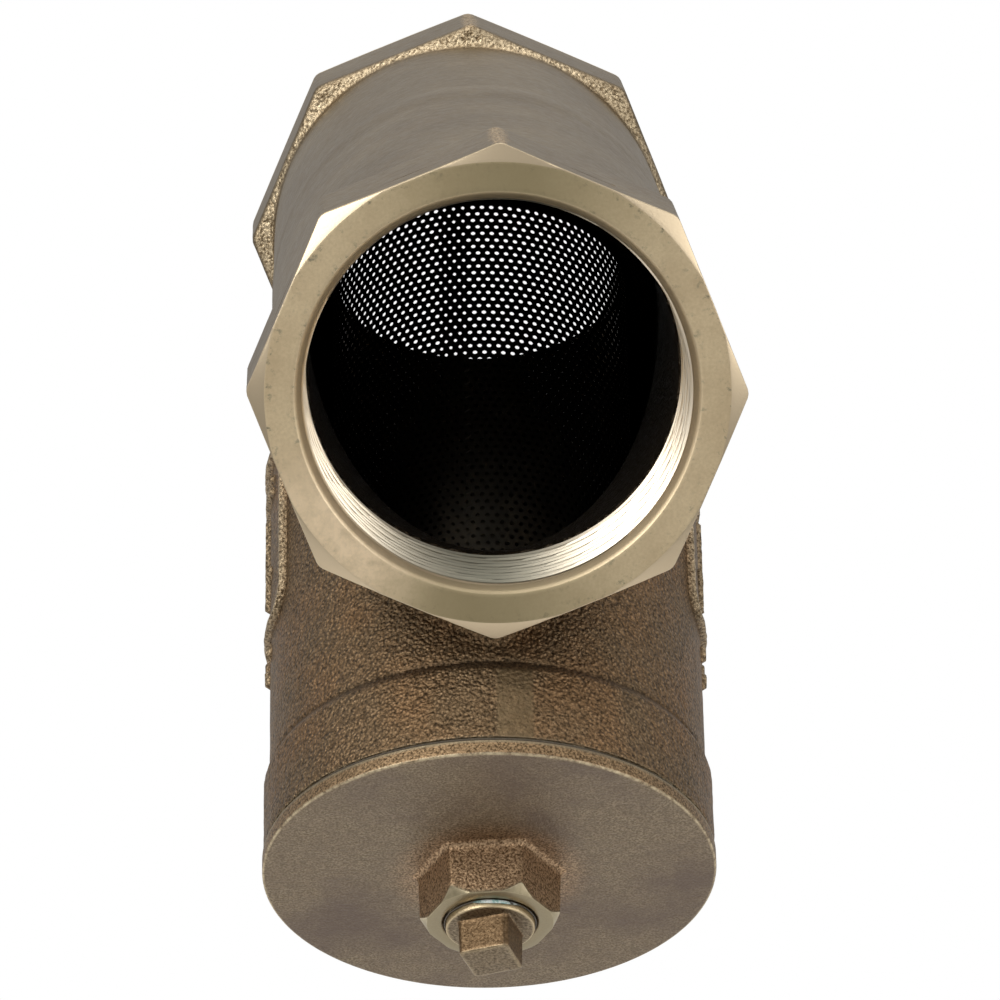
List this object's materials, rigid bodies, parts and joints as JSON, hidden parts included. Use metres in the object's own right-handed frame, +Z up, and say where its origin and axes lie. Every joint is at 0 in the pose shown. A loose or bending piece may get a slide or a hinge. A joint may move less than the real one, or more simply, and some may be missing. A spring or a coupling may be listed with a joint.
{
  "type": "y strainer",
  "caption": "Cast bronze Y strainer with octagonal threaded ports, a screwed screen cap with a hexagonal boss, and a square-head drain plug.",
  "frame": {"origin": "on the run's axis at the inlet port's face; the inlet mount is 1 mm inside it, where the thread starts", "axes": "+Y out of the inlet port along the run, the outlet opens towards -Y; +Z up with the leg hanging down towards the outlet; +X across"},
  "size_m": [0.0756, 0.1855, 0.1409],
  "materials": {
    "cast_bronze": "sand-cast bronze, machined and brushed at the ports",
    "screen_steel": "perforated stainless sheet",
    "gasket": "compressed fibre sheet",
    "cap_bronze": "fine sand-cast bronze",
    "sealant": "thread sealant",
    "plug_bronze": "cast bronze"
  },
  "bodies": {
    "casting": {"body_casting": "cast_bronze"},
    "screen": {"screen": "screen_steel"},
    "gasket": {"cap_gasket": "gasket"},
    "cap": {"cap": "cap_bronze"},
    "sealant": {"plug_sealant": "sealant"},
    "plug": {"blowoff_plug": "plug_bronze"}
  },
  "joints": [
    {"name": "screen_withdraw", "type": "slide", "parent": "casting", "child": "screen", "axis": [0, -0.7071, -0.7071], "range_m": [0, 0.115]},
    {"name": "cap_travel", "type": "slide", "parent": "screen", "child": "gasket", "axis": [0, -0.7071, -0.7071], "range_m": [0, 0.01058]},
    {"name": "cap_turn", "type": "hinge", "parent": "gasket", "child": "cap", "pos_m": [0, -0.15877, -0.07637], "axis": [0, -0.7071, -0.7071], "range_deg": [0, 1800]},
    {"name": "plug_travel", "type": "slide", "parent": "cap", "child": "sealant", "axis": [0, -0.7071, -0.7071], "range_m": [0, 0.00988]},
    {"name": "plug_turn", "type": "hinge", "parent": "sealant", "child": "plug", "pos_m": [0, -0.16761, -0.08521], "axis": [0, -0.7071, -0.7071], "range_deg": [0, 2520]}
  ],
  "couplings": [
    {"joint": "cap_turn", "follows": "cap_travel", "rad_per_m": 2968.4},
    {"joint": "plug_turn", "follows": "plug_travel", "rad_per_m": 4452.7}
  ]
}
